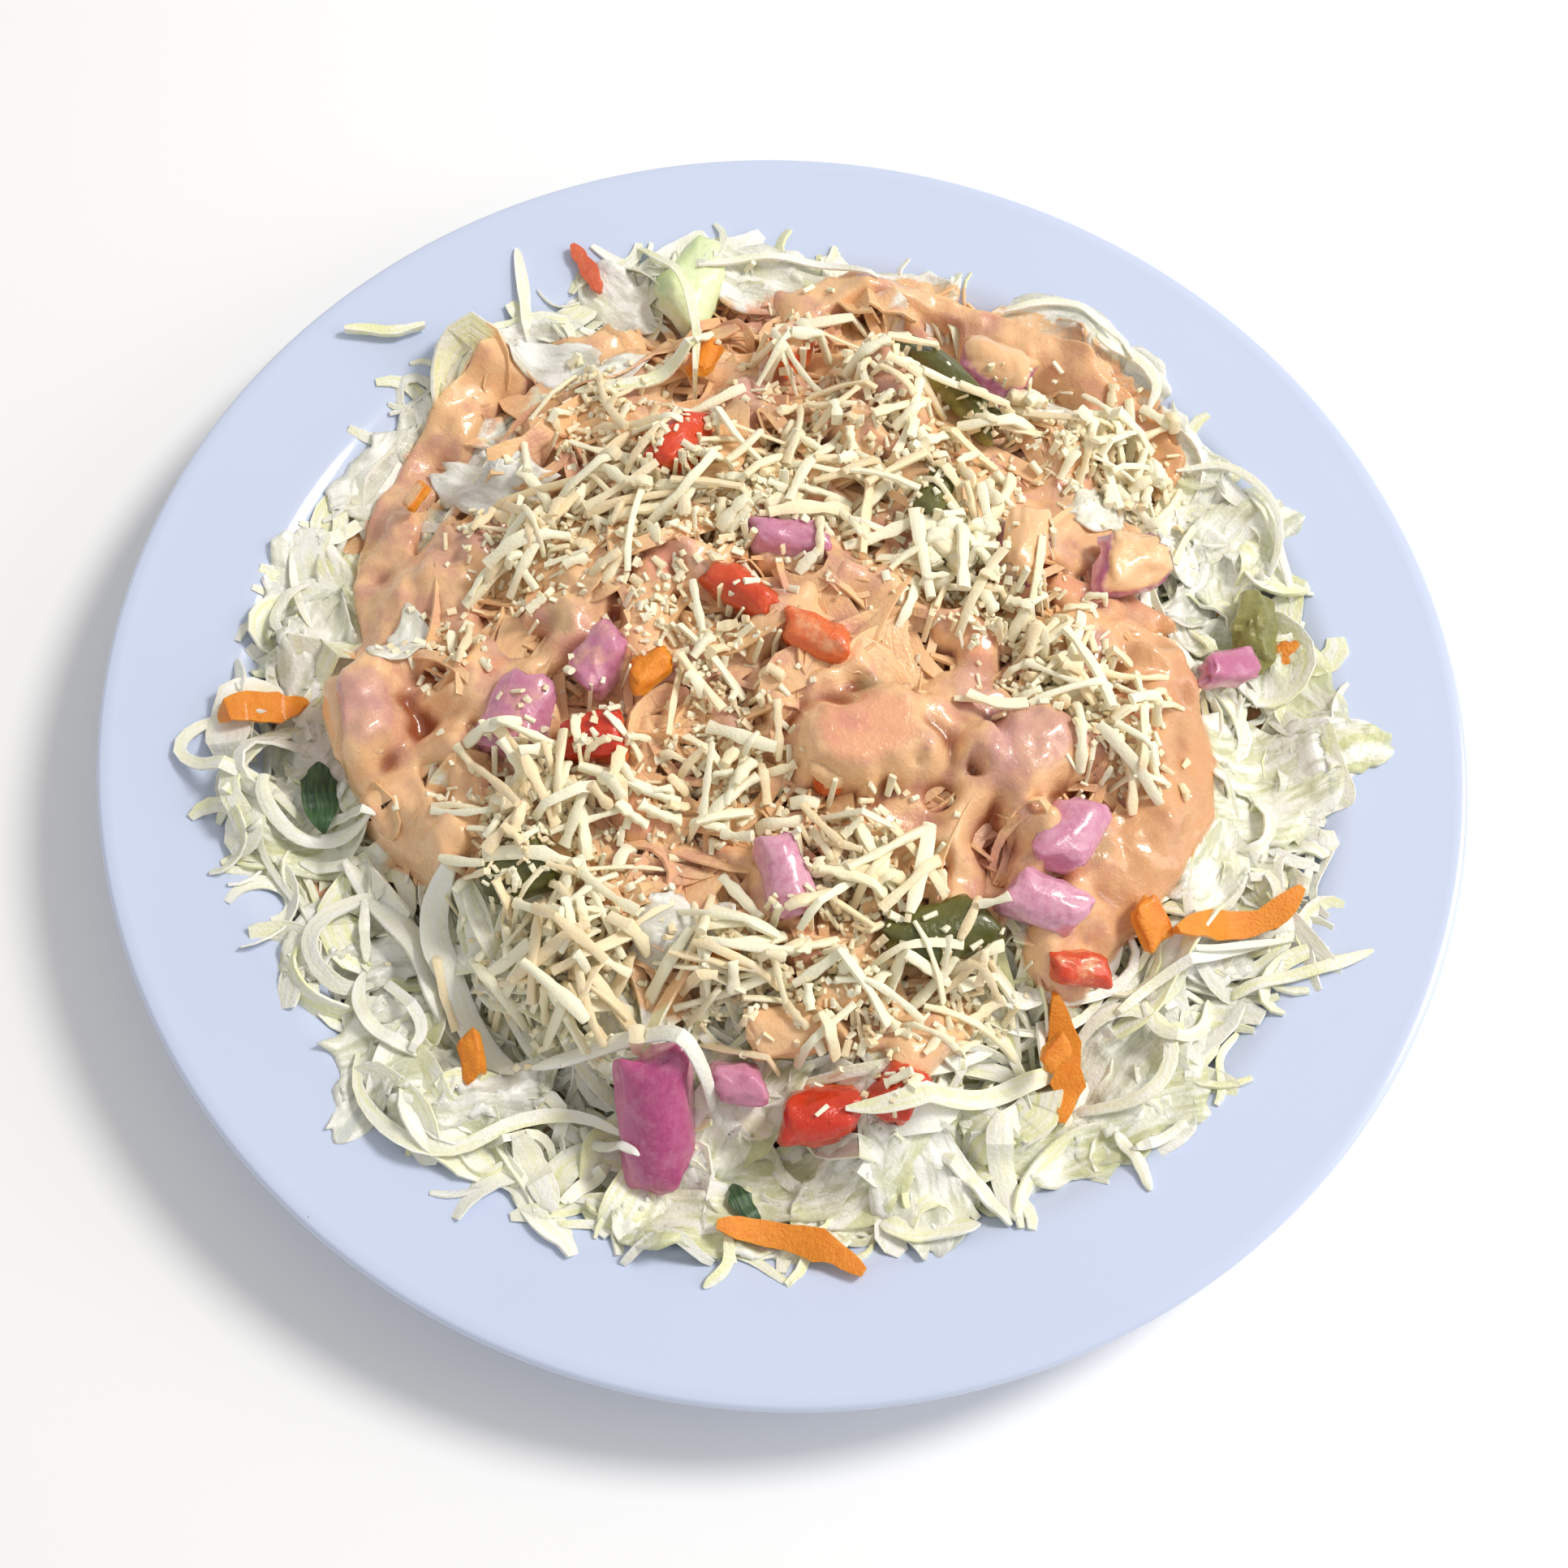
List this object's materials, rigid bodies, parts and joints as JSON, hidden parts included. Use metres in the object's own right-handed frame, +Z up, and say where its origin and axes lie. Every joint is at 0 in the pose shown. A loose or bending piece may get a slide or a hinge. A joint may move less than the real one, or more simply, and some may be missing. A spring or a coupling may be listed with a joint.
{
  "type": "plate of coleslaw",
  "caption": "Shredded cabbage salad in a pink dressing, heaped on a round rimmed plate, with onion, pepper, tomato, carrot and grated cheese.",
  "frame": {"origin": "on the plate's axis, in the plane that its foot ring stands on", "axes": "+Z up, -Y towards the side that the picture shows nearest"},
  "size_m": [0.25, 0.25, 0.0451],
  "materials": {
    "melamine": "gloss",
    "dressed_cabbage": "satin",
    "dressing": "gloss",
    "cheese": "satin",
    "cabbage": "satin",
    "red_onion": "gloss",
    "green_pepper": "gloss",
    "tomato": "gloss",
    "carrot": "satin",
    "herb": "satin"
  },
  "bodies": {
    "root": {"plate": "melamine", "slaw": "dressed_cabbage", "onion_1": "red_onion", "onion_2": "red_onion", "onion_3": "red_onion", "onion_4": "red_onion", "onion_5": "red_onion", "onion_6": "red_onion", "onion_7": "red_onion", "onion_8": "red_onion", "onion_9": "red_onion", "onion_10": "red_onion", "onion_11": "red_onion", "onion_12": "red_onion", "onion_13": "red_onion", "onion_14": "red_onion", "onion_15": "red_onion", "green_pepper_1": "green_pepper", "green_pepper_2": "green_pepper", "green_pepper_3": "green_pepper", "green_pepper_4": "green_pepper", "green_pepper_5": "green_pepper", "green_pepper_6": "green_pepper", "green_pepper_7": "green_pepper", "tomato_1": "tomato", "tomato_2": "tomato", "tomato_3": "tomato", "tomato_4": "tomato", "tomato_5": "tomato", "tomato_6": "tomato", "tomato_7": "tomato", "tomato_8": "tomato", "tomato_9": "tomato", "carrot_1": "carrot", "carrot_2": "carrot", "carrot_3": "carrot", "carrot_strip_1": "carrot", "carrot_strip_2": "carrot", "carrot_strip_3": "carrot", "carrot_strip_4": "carrot", "carrot_strip_5": "carrot", "herb_leaf_1": "herb", "herb_leaf_2": "herb", "stray_shred_1": "cabbage"}
  },
  "joints": []
}
